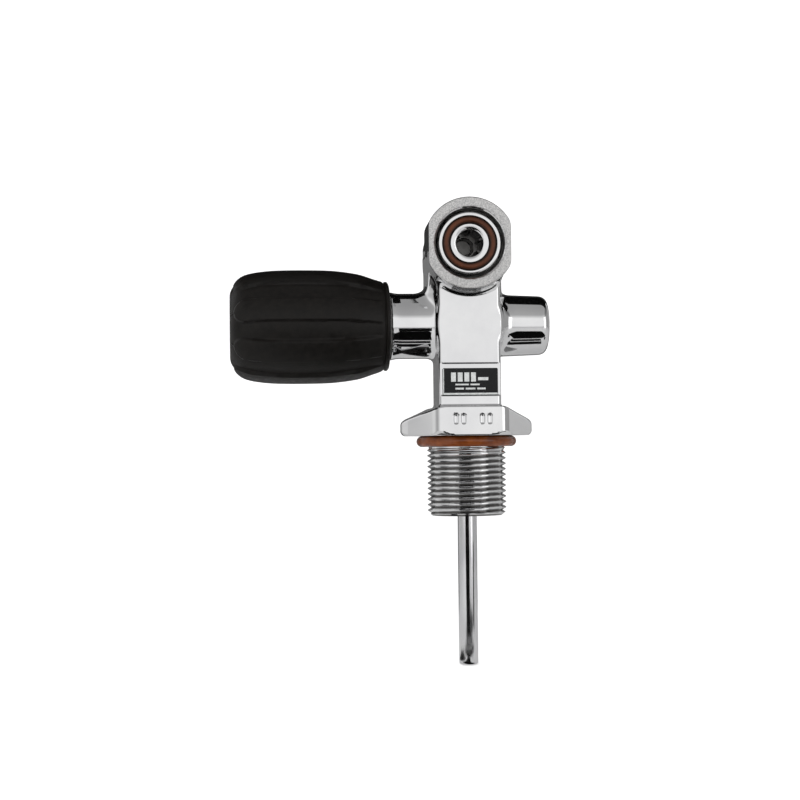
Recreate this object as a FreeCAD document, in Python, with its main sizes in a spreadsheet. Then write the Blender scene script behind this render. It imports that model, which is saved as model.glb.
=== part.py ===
import FreeCAD, Part
import math
import os
import Sketcher

# Scuba cylinder valve with a convertible outlet, in millimetres.
# The origin is on the neck axis at the underside of the hex flange. +Z runs up the
# valve, the outlet faces -Y (front) and the handwheel points to -X (left).
# The stem axis runs along X at stem_z, the outlet axis along Y at head_z.

os.makedirs("parts", exist_ok=True)
doc = FreeCAD.newDocument("scuba_valve")
sheet = doc.addObject("Spreadsheet::Sheet", "Dims")
Vector = FreeCAD.Vector


# ------------------------------------------------------- driving dimensions
class Dim:
    """A sheet expression together with its number."""

    def __init__(self, text, value):
        self.text = text
        self.value = float(value)

    @property
    def driven(self):
        return "Dims" in self.text

    def __add__(self, other):
        return combine(self, "+", other)

    def __radd__(self, other):
        return combine(other, "+", self)

    def __sub__(self, other):
        return combine(self, "-", other)

    def __rsub__(self, other):
        return combine(other, "-", self)

    def __mul__(self, other):
        return combine(self, "*", other)

    def __rmul__(self, other):
        return combine(other, "*", self)

    def __truediv__(self, other):
        return combine(self, "/", other)

    def __neg__(self):
        return combine(0, "-", self)


OPERATIONS = {
    "+": lambda left, right: left + right,
    "-": lambda left, right: left - right,
    "*": lambda left, right: left * right,
    "/": lambda left, right: left / right,
}


def as_dim(value):
    return value if isinstance(value, Dim) else Dim(repr(float(value)), value)


def combine(left, sign, right):
    left, right = as_dim(left), as_dim(right)
    value = OPERATIONS[sign](left.value, right.value)
    return Dim("(%s %s %s)" % (left.text, sign, right.text), value)


aliases = []


def dim(alias, value, note=""):
    """Write one row of the sheet and return the dimension."""
    aliases.append(alias)
    row = len(aliases)
    sheet.set("A%d" % row, alias)
    sheet.set("B%d" % row, repr(float(value)))
    sheet.set("C%d" % row, note)
    sheet.setAlias("B%d" % row, alias)
    return Dim("Dims.%s" % alias, value)


# neck, NPSM 3/4-14 parallel thread
neck_major = dim("neck_major", 26.2, "thread major diameter")
neck_minor = dim("neck_minor", 24.0, "thread root diameter")
neck_pitch = dim("neck_pitch", 25.4 / 14, "14 threads per inch")
neck_top = dim("neck_top", -3.7, "start of the thread below the flange")
neck_end = dim("neck_end", -26.5, "lower end of the neck")
neck_relief = dim("neck_relief", 25.2, "diameter under the flange, inside the o-ring")
# hex flange
flange_flats = dim("flange_flats", 38.1, "across flats, 1.5 in")
flange_top = dim("flange_top", 9.7)
flange_side = dim("flange_side", 3.6, "height of the outer edge at the corners")
# column
col_half = dim("col_half", 10.3, "half width along X")
col_front = dim("col_front", -13.1)
col_back = dim("col_back", 11.5)
col_top = dim("col_top", 56.0)
col_edge = dim("col_edge", 1.6, "front corner radius")
col_edge_back = dim("col_edge_back", 4.5, "back corner radius")
# outlet head
head_z = dim("head_z", 63.0, "height of the outlet axis")
head_r = dim("head_r", 15.2)
head_flat = dim("head_flat", 13.6, "outlet axis to each side flat")
head_front = dim("head_front", -16.4)
head_back = dim("head_back", 15.5)
socket_r = dim("socket_r", 11.5, "bore over the thread, G5/8 major 22.9")
socket_mouth_r = dim("socket_mouth_r", 12.0)
socket_floor = dim("socket_floor", -0.5)
# boss (left) and stub (right) on the stem axis
stem_z = dim("stem_z", 36.7, "height of the stem axis")
boss_r = dim("boss_r", 10.9)
boss_end = dim("boss_end", -25.5)
stub_r = dim("stub_r", 10.45, "radius at the root")
stub_r_end = dim("stub_r_end", 9.75, "radius at the right end")
stub_end = dim("stub_end", 27.5)
stub_edge = dim("stub_edge", 1.5, "size of the rounded end edge")
# passages
inlet_r = dim("inlet_r", 2.6)
tube_r = dim("tube_r", 3.2, "dip tube outer radius")
tube_bore_r = dim("tube_bore_r", 2.2)
tube_top = dim("tube_top", -13.0)
tube_end = dim("tube_end", -76.0)
orifice_r = dim("orifice_r", 2.4)
lip_r = dim("lip_r", 3.4, "rim around the orifice")
lip_x = dim("lip_x", -5.0)
seat_bore_r = dim("seat_bore_r", 6.4)
seat_bore_end = dim("seat_bore_end", -17.5)
bonnet_bore_r = dim("bonnet_bore_r", 9.05)
port_r = dim("port_r", 7.05, "burst plug port")
port_floor = dim("port_floor", 15.0)
# bonnet nut, M18x1.5
bonnet_thread_r = dim("bonnet_thread_r", 9.0)
bonnet_root_r = dim("bonnet_root_r", 8.1)
bonnet_pitch = dim("bonnet_pitch", 1.5)
bonnet_flats = dim("bonnet_flats", 19.0, "across flats")
# burst plug
plug_thread_r = dim("plug_thread_r", 7.0)
plug_root_r = dim("plug_root_r", 6.3)
plug_pitch = dim("plug_pitch", 1.25)
plug_flats = dim("plug_flats", 8.0, "hex socket across flats")
# seat screw, 1/2-20
seat_r = dim("seat_r", 6.35)
seat_pitch = dim("seat_pitch", 1.27)
# upper stem
shaft_r = dim("shaft_r", 3.5)
stem_flange_x = dim("stem_flange_x", -21.3, "right face of the stem flange")
stem_flange_r = dim("stem_flange_r", 6.3)
tang_half = dim("tang_half", 1.5, "half thickness of the flat tang")
stem_square = dim("stem_square", 5.4, "square across flats")
square_end = dim("square_end", -59.8, "left end of the square")
screw_r = dim("screw_r", 2.5, "M5")
stem_end = dim("stem_end", -72.0)
nut_shoulder = dim("nut_shoulder", -68.5, "right face of the handwheel nut head")
# handwheel spring
spring_mid = dim("spring_mid", 5.7, "coil radius at the wire centre")
spring_wire = dim("spring_wire", 1.0, "wire diameter")
spring_turns = dim("spring_turns", 4.5)
spring_start = dim("spring_start", -61.35, "right end of the coil")
spring_length = dim("spring_length", 6.6)
# outlet insert, G5/8-14
insert_r = dim("insert_r", 11.42)
insert_root_r = dim("insert_root_r", 10.35)
insert_pitch = dim("insert_pitch", 25.4 / 14, "14 threads per inch")
insert_face = dim("insert_face", -15.4, "front face")
insert_rear = dim("insert_rear", -0.8, "back face")
insert_hole_r = dim("insert_hole_r", 4.4)
gland_mid_r = dim("gland_mid_r", 7.7, "face o-ring pitch radius")
gland_half = dim("gland_half", 1.34, "half width of the face groove")
rear_mid_r = dim("rear_mid_r", 8.0, "rear o-ring pitch radius")
rear_half = dim("rear_half", 0.98, "half width of the rear groove")
# handwheel
core_r = dim("core_r", 13.2)
core_bore_r = dim("core_bore_r", 12.0, "recess in the right end of the core")
core_right = dim("core_right", -27.2)
core_left = dim("core_left", -76.5)
core_square = dim("core_square", 5.5, "square hole in the core")
hub_left = dim("hub_left", -60.0, "floor of the left recess")
grip_r = dim("grip_r", 17.9, "grip between the lobes")
lobe_r = dim("lobe_r", 18.85, "grip over the lobes")
grip_right_r = dim("grip_right_r", 14.85)
grip_right = dim("grip_right", -26.0)
grip_left = dim("grip_left", -78.4)
grip_hole_r = dim("grip_hole_r", 9.5)
lobe_w = dim("lobe_w", 7.3)
doc.recompute()

# ------------------------------------------------------------------- helpers
# axis of turning: sketch plane, sketch axis, height of the axis origin
AXES = {
    "X": ("XZ_Plane", "H_Axis", stem_z),
    "Y": ("YZ_Plane", "H_Axis", head_z),
    "Z": ("XZ_Plane", "V_Axis", 0.0),
}

# rotations that turn a primitive's own Z axis
UPRIGHT = FreeCAD.Rotation()
TO_RIGHT = FreeCAD.Rotation(Vector(0, 1, 0), 90)
TO_LEFT = FreeCAD.Rotation(Vector(0, 1, 0), -90)
TO_FRONT = FreeCAD.Rotation(Vector(1, 0, 0), 90)


def place(obj, at, rotation=UPRIGHT):
    at = [as_dim(coordinate) for coordinate in at]
    obj.Placement = FreeCAD.Placement(Vector(*[c.value for c in at]), rotation)
    for axis, coordinate in zip("xyz", at):
        if coordinate.driven:
            obj.setExpression(".Placement.Base.%s" % axis, coordinate.text)
    return obj


def set_size(obj, prop, value):
    value = as_dim(value)
    setattr(obj, prop, value.value)
    if value.driven:
        obj.setExpression(prop, value.text)


def new_body(name):
    body = doc.addObject("PartDesign::Body", name)
    doc.recompute()
    return body


def closed_sketch(body, name, plane, points):
    """Closed polygon with every corner located from the sketch origin."""
    sketch = body.newObject("Sketcher::SketchObject", name)
    origin_plane = next(o for o in body.Origin.OriginFeatures if o.Role == plane)
    sketch.AttachmentSupport = [(origin_plane, "")]
    sketch.MapMode = "FlatFace"
    points = [(as_dim(x), as_dim(y)) for x, y in points]
    corners = [Vector(x.value, y.value, 0) for x, y in points]
    count = len(corners)
    sketch.addGeometry([Part.LineSegment(corners[i], corners[(i + 1) % count])
                        for i in range(count)], False)
    sketch.addConstraint([Sketcher.Constraint("Coincident", i, 2, (i + 1) % count, 1)
                          for i in range(count)])
    for i, (x, y) in enumerate(points):
        # a zero distance is written as a point on the other sketch axis
        for kind, distance, zero_axis in (("DistanceX", x, -2), ("DistanceY", y, -1)):
            if abs(distance.value) < 1e-9:
                sketch.addConstraint(Sketcher.Constraint("PointOnObject", i, 1, zero_axis))
                continue
            index = sketch.addConstraint(
                Sketcher.Constraint(kind, -1, 1, i, 1, distance.value))
            if distance.driven:
                sketch.setExpression("Constraints[%d]" % index, distance.text)
    return sketch


def turned(name, axis, points):
    """Body turned from (place along the axis, radius) points."""
    body = new_body(name)
    plane, sketch_axis, height = AXES[axis]
    if axis == "Z":
        points = [(radius, along) for along, radius in points]
    sketch = closed_sketch(body, name + "_profile", plane, points)
    doc.recompute()
    turn = body.newObject("PartDesign::Revolution", name + "_turn")
    turn.Profile = sketch
    turn.ReferenceAxis = (sketch, [sketch_axis])
    turn.Angle = 360
    body.Tip = turn
    return place(body, (0, 0, height))


def washer(name, start, end, inner_r, outer_r):
    """Flat ring or disc on the stem axis."""
    return turned(name, "X", [
        (start, inner_r), (start, outer_r), (end, outer_r), (end, inner_r)])


def cylinder(name, radius, length, at, rotation):
    obj = doc.addObject("Part::Cylinder", name)
    set_size(obj, "Radius", radius)
    set_size(obj, "Height", length)
    return place(obj, at, rotation)


def box(name, size, at, rotation=UPRIGHT):
    obj = doc.addObject("Part::Box", name)
    for prop, value in zip(("Length", "Width", "Height"), size):
        set_size(obj, prop, value)
    return place(obj, at, rotation)


def hexagon(name, across_flats, height, at=(0, 0, 0), rotation=UPRIGHT):
    obj = doc.addObject("Part::Prism", name)
    obj.Polygon = 6
    set_size(obj, "Circumradius", across_flats / (2 * math.cos(math.pi / 6)))
    set_size(obj, "Height", height)
    return place(obj, at, rotation)


def torus(name, mid_r, section_r, at, rotation=UPRIGHT):
    obj = doc.addObject("Part::Torus", name)
    set_size(obj, "Radius1", mid_r)
    set_size(obj, "Radius2", section_r)
    return place(obj, at, rotation)


def fuse(name, shapes):
    obj = doc.addObject("Part::MultiFuse", name)
    obj.Shapes = shapes
    obj.Refine = True
    return obj


def cut(name, base, tool):
    obj = doc.addObject("Part::Cut", name)
    obj.Base = base
    obj.Tool = tool
    return obj


def common(name, shapes):
    obj = doc.addObject("Part::MultiCommon", name)
    obj.Shapes = shapes
    return obj


CREST_FLAT = 0.125  # flat between grooves, as a share of the pitch
ROOT_FLAT = 0.12    # flat at the groove bottom, as a share of the pitch


def grooves(start, direction, count, crest_r, root_r, pitch):
    """Profile points of a row of V grooves that stand for a thread.

    direction is 1 or -1, the way the row walks along the axis.
    """
    crest_half = pitch * ((1.0 - CREST_FLAT) / 2.0 * direction)
    root_half = pitch * (ROOT_FLAT / 2.0 * direction)
    points = []
    for i in range(count):
        middle = start + pitch * (direction * (i + 0.5))
        points += [(middle - crest_half, crest_r), (middle - root_half, root_r),
                   (middle + root_half, root_r), (middle + crest_half, crest_r)]
    return points


# ---------------------------------------------------------------- valve body
def neck():
    crest_r = neck_major / 2
    relief_r = neck_relief / 2
    points = [(2.0, 0.0), (2.0, relief_r), (neck_top + 0.5, relief_r), (neck_top, crest_r)]
    points += grooves(neck_top - 0.1, -1, 12, crest_r, neck_minor / 2, neck_pitch)
    points += [(neck_end + 0.65, crest_r), (neck_end, crest_r - 1.5), (neck_end, 0.0)]
    return turned("neck", "Z", points)


def flange():
    """Hex under a roof that is level at the column and falls to both side corners."""
    hex_bar = hexagon("flange_hex", flange_flats, flange_top)
    roof = new_body("flange_roof")
    # (x, z) outline
    sketch = closed_sketch(roof, "roof_profile", "XZ_Plane", [
        (-24.0, 0.9), (-21.9, 0.0), (21.9, 0.0), (24.0, 0.9), (24.0, flange_side),
        (22.0, flange_side), (20.6, flange_side + 1.7), (16.0, flange_top - 2.6),
        (11.2, flange_top - 0.25), (col_half, flange_top),
        (-col_half, flange_top), (-11.2, flange_top - 0.4), (-16.0, flange_top - 2.9),
        (-20.6, flange_side + 1.5), (-22.0, flange_side), (-24.0, flange_side)])
    doc.recompute()
    pad = roof.newObject("PartDesign::Pad", "roof_pad")
    pad.Profile = sketch
    pad.Length = 60
    pad.Midplane = True
    roof.Tip = pad
    return common("flange_raw", [hex_bar, roof])


def column():
    """Square column that starts 1 mm inside the flange, upright edges rounded."""
    overlap = 1.0
    raw = box("column_raw", (col_half * 2, col_back - col_front, col_top - flange_top + overlap),
              (-col_half, col_front, flange_top - overlap))
    doc.recompute()
    edges = []
    for number, edge in enumerate(raw.Shape.Edges, 1):
        start, end = edge.Vertexes[0].Point, edge.Vertexes[-1].Point
        if abs(start.x - end.x) < 1e-6 and abs(start.y - end.y) < 1e-6:
            radius = col_edge.value if start.y < 0 else col_edge_back.value
            edges.append((number, radius, radius))
    rounded = doc.addObject("Part::Fillet", "column")
    rounded.Base = raw
    rounded.Edges = edges
    return rounded


def outlet_head():
    """Round bar along Y with a flat on each side."""
    bar = turned("head_bar", "Y", [
        (head_front, 0.0), (head_front, head_r - 0.3), (head_front + 0.3, head_r),
        (head_back - 3.0, head_r), (head_back - 0.9, head_r - 0.9),
        (head_back, head_r - 3.0), (head_back, 0.0)])
    slab = box("head_slab", (head_flat * 2, 40.0, 40.0), (-head_flat, -20.0, head_z - 20.0))
    return common("head", [bar, slab])


def head_web():
    """Block that joins the head to the column."""
    return box("web", (head_flat + col_half, 18.0, 16.0), (-head_flat, -8.0, head_z - 17.0))


def bonnet_boss():
    return turned("bonnet_boss", "X", [
        (0.0, 0.0), (0.0, boss_r), (boss_end + 2.2, boss_r), (boss_end, boss_r + 0.5),
        (boss_end, 0.0)])


def right_stub():
    return turned("stub", "X", [
        (0.0, 0.0), (stub_end, 0.0), (stub_end, stub_r_end - stub_edge),
        (stub_end - stub_edge * 0.35, stub_r_end - stub_edge * 0.3),
        (stub_end - stub_edge, stub_r_end), (9.0, stub_r), (0.0, stub_r)])


def socket_cut():
    """Outlet socket, with a narrow pointed hole behind its floor."""
    return turned("cut_socket", "Y", [
        (head_front - 1.0, 0.0), (head_front - 1.0, socket_mouth_r),
        (head_front, socket_mouth_r), (head_front + 0.65, socket_r),
        (socket_floor, socket_r), (socket_floor, 3.0), (6.0, 3.0), (7.6, 0.0)])


def inlet_cut():
    """Dip tube bore and the inlet passage from it up to the stem axis."""
    mouth_r = tube_r + 0.5
    return turned("cut_inlet", "Z", [
        (neck_end - 1.0, 0.0), (neck_end - 1.0, mouth_r), (neck_end, mouth_r),
        (neck_end + 0.5, tube_r), (tube_top, tube_r), (tube_top, inlet_r),
        (stem_z + 1.0, inlet_r), (stem_z + 2.5, 0.0)])


def stem_bores_cut():
    """Orifice and its lip, seat bore and bonnet bore, going left."""
    mouth_r = bonnet_bore_r + 0.4
    return turned("cut_stem_bores", "X", [
        (1.0, 0.0), (1.0, orifice_r), (lip_x, orifice_r), (lip_x, lip_r),
        (lip_x + 1.0, lip_r + 0.6), (lip_x + 1.0, seat_bore_r),
        (seat_bore_end, seat_bore_r), (seat_bore_end, bonnet_bore_r),
        (boss_end + 0.4, bonnet_bore_r), (boss_end, mouth_r),
        (boss_end - 1.0, mouth_r), (boss_end - 1.0, 0.0)])


def burst_port_cut():
    """Passage from the inlet to the right, and the wider plug port."""
    passage_r = 2.0
    mouth_r = port_r + 0.5
    return turned("cut_burst_port", "X", [
        (-0.5, 0.0), (-0.5, passage_r), (port_floor, passage_r), (port_floor, port_r),
        (stub_end - 0.5, port_r), (stub_end, mouth_r), (stub_end + 1.0, mouth_r),
        (stub_end + 1.0, 0.0)])


def gas_way_cut():
    """Slanted passage from the seat bore up to the outlet axis."""
    start = (-5.4, 0.5, stem_z + 3.6)
    end = Vector(0.0, 4.0, head_z.value)
    slope = end - Vector(start[0], start[1], start[2].value)
    return cylinder("cut_gas_way", 2.2, 23.6, start, FreeCAD.Rotation(Vector(0, 0, 1), slope))


def label_cut():
    """Recess 0.5 deep in the front of the column."""
    width = 19.4
    return box("cut_label_recess", (width, 2.0, 10.8), (-width / 2, col_front - 1.5, 13.0))


def yoke_dimple_cut():
    """Conical dimple in the back of the head."""
    return turned("cut_yoke_dimple", "Y", [
        (head_back - 2.6, 0.0), (head_back + 0.3, 4.6), (head_back + 0.3, 0.0)])


def mark_cuts():
    """Date marks punched in the front facet of the flange."""
    depth = 0.35
    return [cylinder("cut_mark_%d" % i, 0.75, 1.0, (x, depth - flange_flats / 2, 5.6), TO_FRONT)
            for i, x in enumerate((-5.6, -3.4, 3.0, 5.2))]


def valve_body():
    work = fuse("body_rough", [neck(), flange(), column(), outlet_head(), head_web(),
                               bonnet_boss(), right_stub()])
    tools = [socket_cut(), inlet_cut(), stem_bores_cut(), burst_port_cut(), gas_way_cut(),
             label_cut(), yoke_dimple_cut()] + mark_cuts()
    for i, tool in enumerate(tools):
        work = cut("body_cut_%d" % i, work, tool)
    return work


# -------------------------------------------------- pieces fixed to the body
def dip_tube():
    top = tube_top - 0.05
    outer_r = tube_r - 0.01
    return turned("dip_tube_body", "Z", [
        (top, tube_bore_r), (top, outer_r), (tube_end + 0.3, outer_r),
        (tube_end, tube_r - 0.3), (tube_end, tube_bore_r)])


def neck_o_ring():
    return torus("neck_o_ring_t", 14.85, 1.8, (0, 0, -1.82))


def bonnet_nut():
    """Hex head on the left, threaded shank, bore for the stem."""
    head_left, head_right, shank_end = -31.5, -26.3, -17.55
    recess_floor = -23.52
    hole_r, recess_r, neck_r = 3.55, 6.6, 8.5
    points = [(head_left, hole_r), (head_left, 10.2), (head_left + 0.4, 10.97),
              (head_right, 10.97), (head_right, neck_r), (-24.9, neck_r),
              (-24.7, bonnet_thread_r)]
    points += grooves(-24.6, 1, 4, bonnet_thread_r, bonnet_root_r, bonnet_pitch)
    points += [(-17.9, bonnet_thread_r), (shank_end, 8.6), (shank_end, recess_r),
               (recess_floor, recess_r), (recess_floor, hole_r)]
    bar = turned("bonnet_bar", "X", points)
    hex_bar = hexagon("bonnet_hex", bonnet_flats, 16.0, (head_left - 1.0, 0, stem_z), TO_RIGHT)
    return common("bonnet_nut_c", [bar, hex_bar])


def bonnet_gasket():
    return turned("bonnet_gasket_b", "X", [
        (-26.28, 9.15), (-26.28, 10.4), (-25.52, 10.4), (-25.52, 9.5)])


def stem_thrust_washer():
    return washer("stem_thrust_washer_b", -22.52, -23.5, 3.6, 6.5)


def burst_plug():
    """Threaded plug with a hex socket in its right end and a vent through it."""
    inner_face = port_floor + 1.15
    outer_face = stub_end - 0.3
    points = [(inner_face, 0.0), (inner_face, 6.0), (port_floor + 1.6, plug_thread_r)]
    points += grooves(port_floor + 1.8, 1, 6, plug_thread_r, plug_root_r, plug_pitch)
    points += [(stub_end - 0.9, plug_thread_r), (outer_face, plug_thread_r - 0.6),
               (outer_face, 0.0)]
    bar = turned("plug_bar", "X", points)
    socket = hexagon("plug_hex", plug_flats, 6.0, (stub_end - 5.5, 0, stem_z), TO_RIGHT)
    vent = cylinder("plug_vent", 2.0, 12.0, (port_floor + 1.0, 0, stem_z), TO_RIGHT)
    return cut("burst_plug_c", bar, fuse("plug_cuts", [socket, vent]))


def burst_gasket():
    return washer("burst_gasket_b", port_floor, port_floor + 0.8, 2.5, 6.7)


def burst_disc():
    return washer("burst_disc_b", port_floor + 0.82, port_floor + 1.12, 0.0, 5.6)


def rating_plate():
    return box("rating_plate_b", (18.3, 0.35, 8.9), (-9.2, col_front + 0.13, 13.25))


# ---------------------------------------------------------------------- stem
def upper_stem():
    """From the right: flat tang, flange, shaft with o-ring groove, square, M5 end."""
    tang_r, tang_end = 4.6, -13.5
    flange_left = -22.5
    groove_right, groove_left, groove_r = -25.85, -27.15, 2.3
    bar = turned("stem_bar", "X", [
        (tang_end, 0.0), (tang_end, tang_r), (stem_flange_x, tang_r),
        (stem_flange_x, stem_flange_r), (flange_left, stem_flange_r), (flange_left, shaft_r),
        (groove_right, shaft_r), (groove_right, groove_r), (groove_left, groove_r),
        (groove_left, shaft_r), (square_end, shaft_r), (square_end, screw_r),
        (stem_end + 0.6, screw_r), (stem_end, screw_r - 0.5), (stem_end, 0.0)])
    # blocks above and below that leave the tang
    block = (8.0, 12.0, 6.0)
    tang_clear = fuse("tang_clear", [
        box("tang_clear_a", block, (stem_flange_x, -6.0, stem_z + tang_half)),
        box("tang_clear_b", block, (stem_flange_x, -6.0, stem_z - tang_half - 6.0))])
    # four blocks that leave the square
    half = stem_square / 2
    length, wide, thick = 25.8, 12.0, 4.0
    square_clear = fuse("square_clear", [
        box("square_clear_a", (length, wide, thick), (square_end, -wide / 2, stem_z + half)),
        box("square_clear_b", (length, wide, thick),
            (square_end, -wide / 2, stem_z - half - thick)),
        box("square_clear_c", (length, thick, wide), (square_end, half, stem_z - wide / 2)),
        box("square_clear_d", (length, thick, wide),
            (square_end, -half - thick, stem_z - wide / 2))])
    return cut("upper_stem_c", bar, fuse("stem_cuts", [tang_clear, square_clear]))


def stem_o_ring():
    return torus("stem_o_ring_t", 2.93, 0.6, (-26.5, 0, stem_z), TO_RIGHT)


def handwheel_nut():
    """Slotted nut that holds the handwheel, with a sleeve inside the spring."""
    sleeve_end = nut_shoulder + 4.5
    sleeve_r, head_radius = 4.4, 7.2
    head_end = nut_shoulder - 4.0
    bar = turned("nut_bar", "X", [
        (sleeve_end, screw_r), (sleeve_end, sleeve_r), (nut_shoulder, sleeve_r),
        (nut_shoulder, head_radius), (nut_shoulder - 3.4, head_radius),
        (head_end, head_radius - 0.6), (head_end, screw_r)])
    slot_width = 1.8
    slot = box("nut_slot", (1.7, 16.0, slot_width),
               (head_end - 0.2, -8.0, stem_z - slot_width / 2))
    return cut("handwheel_nut_c", bar, slot)


def handwheel_spring():
    """Round wire swept along a helix that runs left."""
    path = doc.addObject("Part::Helix", "spring_path")
    set_size(path, "Radius", spring_mid)
    set_size(path, "Height", spring_length)
    set_size(path, "Pitch", spring_length / spring_turns)
    place(path, (spring_start, 0, stem_z), TO_LEFT)
    wire = doc.addObject("Part::Circle", "spring_wire_circle")
    set_size(wire, "Radius", spring_wire / 2)
    place(wire, (spring_start, 0, stem_z + spring_mid), TO_FRONT)
    spring = doc.addObject("Part::Sweep", "spring_sweep")
    spring.Sections = [wire]
    spring.Spine = (path, ["Edge1"])
    spring.Solid = True
    spring.Frenet = True
    return spring


# ----------------------------------------------------------------- handwheel
def handwheel_core():
    """Round core with a recess in each end, a square hole and four closed voids."""
    recess_floor = -35.6
    bar = turned("core_bar", "X", [
        (core_right, core_bore_r), (core_right, core_r), (core_left, core_r),
        (core_left, grip_hole_r), (hub_left, grip_hole_r), (hub_left, 0.0),
        (recess_floor, 0.0), (recess_floor, core_bore_r)])
    cuts = [box("core_square", (28.0, core_square, core_square),
                (hub_left - 2.0, -core_square / 2, stem_z - core_square / 2))]
    void_r, void_length, void_ring_r = 1.6, 14.0, 9.2
    for i in range(4):
        angle = math.radians(45 + 90 * i)
        cuts.append(cylinder(
            "core_lightening_%d" % i, void_r, void_length,
            (-50.0, void_ring_r * math.cos(angle), stem_z + void_ring_r * math.sin(angle)),
            TO_RIGHT))
    return cut("handwheel_core_c", bar, fuse("core_cuts", cuts))


def grip_lobes():
    """Eight lobes: a turned outline kept only inside radial bars."""
    outline = turned("lobe_turn", "X", [
        (-32.0, core_r + 0.5), (-32.0, grip_right_r + 0.9), (-34.0, grip_right_r + 1.9),
        (-42.0, lobe_r - 0.45), (-50.0, lobe_r), (-62.0, lobe_r), (-70.0, lobe_r - 0.5),
        (-74.0, lobe_r - 1.7), (-76.6, lobe_r - 3.6), (-77.6, lobe_r - 5.2),
        (-76.3, core_r + 0.5)])
    count, first_angle = 8, 29.4
    left, right = -80.0, -30.0
    inner_r, outer_r = 12.0, 20.0
    bars = []
    for i in range(count):
        rotation = FreeCAD.Rotation(Vector(1, 0, 0), first_angle + 360.0 * i / count)
        corner = rotation.multVec(Vector(0, -lobe_w.value / 2, inner_r))
        bars.append(box("lobe_bar_%d" % i, (right - left, lobe_w, outer_r - inner_r),
                        (left, corner.y, corner.z), rotation))
    all_bars = place(fuse("lobe_bars", bars), (0, 0, stem_z))
    return common("lobes", [outline, all_bars])


def handwheel_grip():
    """Sleeve around the core, closed in at both ends, with lobes."""
    base = turned("grip_base", "X", [
        (grip_right, core_bore_r), (grip_right, grip_right_r - 0.6),
        (grip_right - 0.6, grip_right_r), (-28.0, grip_right_r),
        (-34.0, grip_right_r + 1.5), (-42.0, grip_r - 0.35), (-50.0, grip_r),
        (-62.0, grip_r), (-70.0, grip_r - 0.5), (-74.5, grip_r - 1.8),
        (-76.9, grip_r - 3.9), (-78.0, grip_r - 5.9), (grip_left, grip_r - 7.2),
        (grip_left, grip_hole_r), (core_left, grip_hole_r), (core_left, core_r),
        (core_right, core_r), (core_right, core_bore_r)])
    return fuse("handwheel_grip_f", [base, grip_lobes()])


def handwheel_washer():
    return washer("handwheel_washer_b", hub_left - 0.02, hub_left - 0.78, 2.6, 7.4)


# ---------------------------------------------------------------------- seat
def seat_carrier():
    """Threaded carrier: slot in the left end, round pocket in the right."""
    right, left = -6.05, -17.0
    points = [(right, 0.0), (right, 5.7), (-6.8, seat_r)]
    points += grooves(-7.0, -1, 7, seat_r, seat_r - 0.72, seat_pitch)
    points += [(left + 0.4, seat_r), (left, seat_r - 0.4), (left, 0.0)]
    bar = turned("seat_bar", "X", points)
    slot_width = 3.2
    slot = box("seat_slot", (8.5, 14.0, slot_width),
               (left - 1.0, -7.0, stem_z - slot_width / 2))
    pocket = cylinder("seat_pocket", 4.25, 2.0, (-7.52, 0, stem_z), TO_RIGHT)
    return cut("seat_carrier_c", bar, fuse("seat_cuts", [slot, pocket]))


def seat_disc():
    return turned("seat_disc_b", "X", [
        (-5.02, 0.0), (-5.02, 4.0), (-5.2, 4.2), (-7.5, 4.2), (-7.5, 0.0)])


# ------------------------------------------------------------- outlet insert
def insert_teeth():
    """Six bars along Y that stand into the insert's hole."""
    width, length, height = 1.3, 11.0, 1.6
    inner_r = 3.95
    teeth = []
    for i in range(6):
        rotation = FreeCAD.Rotation(Vector(0, 1, 0), 60.0 * i + 20.0)
        corner = rotation.multVec(Vector(-width / 2, 0, inner_r))
        teeth.append(box("insert_tooth_%d" % i, (width, length, height),
                         (corner.x, insert_face + 2.0, head_z + corner.z), rotation))
    return teeth


def outlet_insert():
    """Threaded ring with an o-ring groove in each face."""
    face_floor = insert_face + 2.1
    rear_floor = insert_rear - 1.65
    points = [
        (insert_face, insert_hole_r + 0.5), (insert_face, gland_mid_r - gland_half),
        (face_floor, gland_mid_r - gland_half), (face_floor, gland_mid_r + gland_half),
        (insert_face, gland_mid_r + gland_half), (insert_face, insert_r - 1.0),
        (insert_face + 0.9, insert_r)]
    points += grooves(insert_face + 0.95, 1, 5, insert_r, insert_root_r, insert_pitch)
    points += [
        (insert_face + 10.4, insert_r), (insert_face + 10.8, insert_r - 0.6),
        (insert_rear - 0.4, insert_r - 0.6), (insert_rear, insert_r - 1.0),
        (insert_rear, rear_mid_r + rear_half), (rear_floor, rear_mid_r + rear_half),
        (rear_floor, rear_mid_r - rear_half), (insert_rear, rear_mid_r - rear_half),
        (insert_rear, insert_hole_r), (insert_face + 0.5, insert_hole_r)]
    return fuse("outlet_insert_f", [turned("insert_bar", "Y", points)] + insert_teeth())


def insert_face_o_ring():
    return torus("insert_face_o_ring_t", gland_mid_r, 1.3,
                 (0, insert_face + 0.72, head_z), TO_FRONT)


def insert_rear_o_ring():
    return torus("insert_rear_o_ring_t", rear_mid_r, 0.93,
                 (0, insert_rear - 0.65, head_z), TO_FRONT)


# ------------------------------------------------------ build, check, export
# each function's name is its piece's Label and file name
PIECES = (
    valve_body, dip_tube, neck_o_ring, bonnet_nut, bonnet_gasket, stem_thrust_washer,
    burst_plug, burst_gasket, burst_disc, rating_plate, upper_stem, stem_o_ring,
    handwheel_nut, handwheel_spring, handwheel_core, handwheel_grip, handwheel_washer,
    seat_carrier, seat_disc, outlet_insert, insert_face_o_ring, insert_rear_o_ring,
)
finals = []
for build in PIECES:
    piece = build()
    piece.Label = build.__name__
    finals.append(piece)
doc.recompute()

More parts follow.
